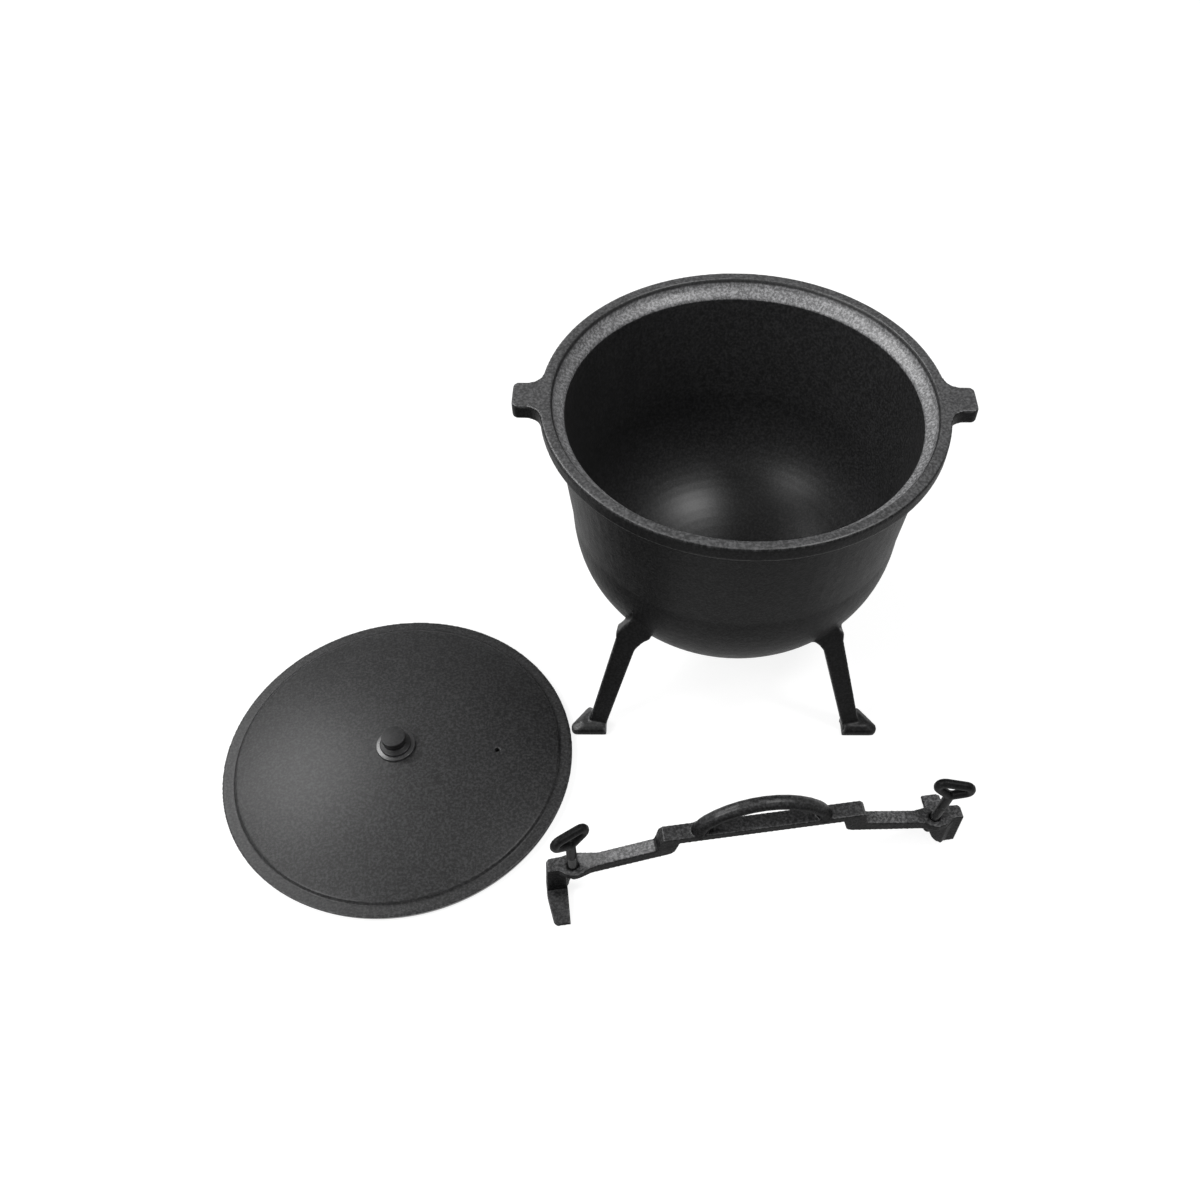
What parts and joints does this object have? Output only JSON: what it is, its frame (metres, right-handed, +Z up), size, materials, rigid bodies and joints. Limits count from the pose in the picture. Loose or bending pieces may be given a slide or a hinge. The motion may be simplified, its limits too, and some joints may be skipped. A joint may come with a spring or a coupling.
{
  "type": "cooking pot",
  "caption": "Deep round cast iron cooking pot on splayed legs, with two ears, a flat lid with a knob and a clamp bar with thumbscrews that holds the lid down.",
  "frame": {"origin": "middle of the box round the whole set, on the ground under the feet, the lid and the claws", "axes": "+Z up, +X along the line through the pot's ears, towards the clamp bar's right end, -Y towards the viewer of the picture"},
  "size_m": [0.6456, 0.4948, 0.28],
  "materials": {
    "pot_iron": "sand-cast, matt black",
    "lid_iron": "sand-cast, dark grey",
    "knob_iron": "turned, dark grey",
    "fixing_steel": "plain steel",
    "bar_iron": "sand-cast, matt black",
    "screw_steel": "bright steel",
    "loop_iron": "sand-cast, matt black"
  },
  "bodies": {
    "set": {"pot": "pot_iron", "lid": "lid_iron", "knob_washer": "fixing_steel", "lid_knob": "knob_iron", "knob_nut": "fixing_steel", "clamp_bar": "bar_iron"},
    "left_shank": {"left_screw": "screw_steel"},
    "left_head": {"left_loop": "loop_iron"},
    "right_shank": {"right_screw": "screw_steel"},
    "right_head": {"right_loop": "loop_iron"}
  },
  "joints": [
    {"name": "left_screw_travel", "type": "slide", "parent": "set", "child": "left_shank", "axis": [0, 0, 1], "range_m": [-0.0125, 0.008]},
    {"name": "left_screw_turn", "type": "hinge", "parent": "left_shank", "child": "left_head", "pos_m": [-0.00605, -0.21179, 0.0415], "axis": [0, 0, 1], "range_deg": [-3600, 2304]},
    {"name": "right_screw_travel", "type": "slide", "parent": "set", "child": "right_shank", "axis": [0.1462, 0.0216, 0.989], "range_m": [-0.0125, 0.008]},
    {"name": "right_screw_turn", "type": "hinge", "parent": "right_shank", "child": "right_head", "pos_m": [0.29785, -0.16691, 0.0415], "axis": [0.1462, 0.0216, 0.989], "range_deg": [-3600, 2304]}
  ],
  "couplings": [
    {"joint": "left_screw_travel", "follows": "left_screw_turn", "m_per_rad": 0.00019894},
    {"joint": "right_screw_travel", "follows": "right_screw_turn", "m_per_rad": 0.00019894}
  ]
}
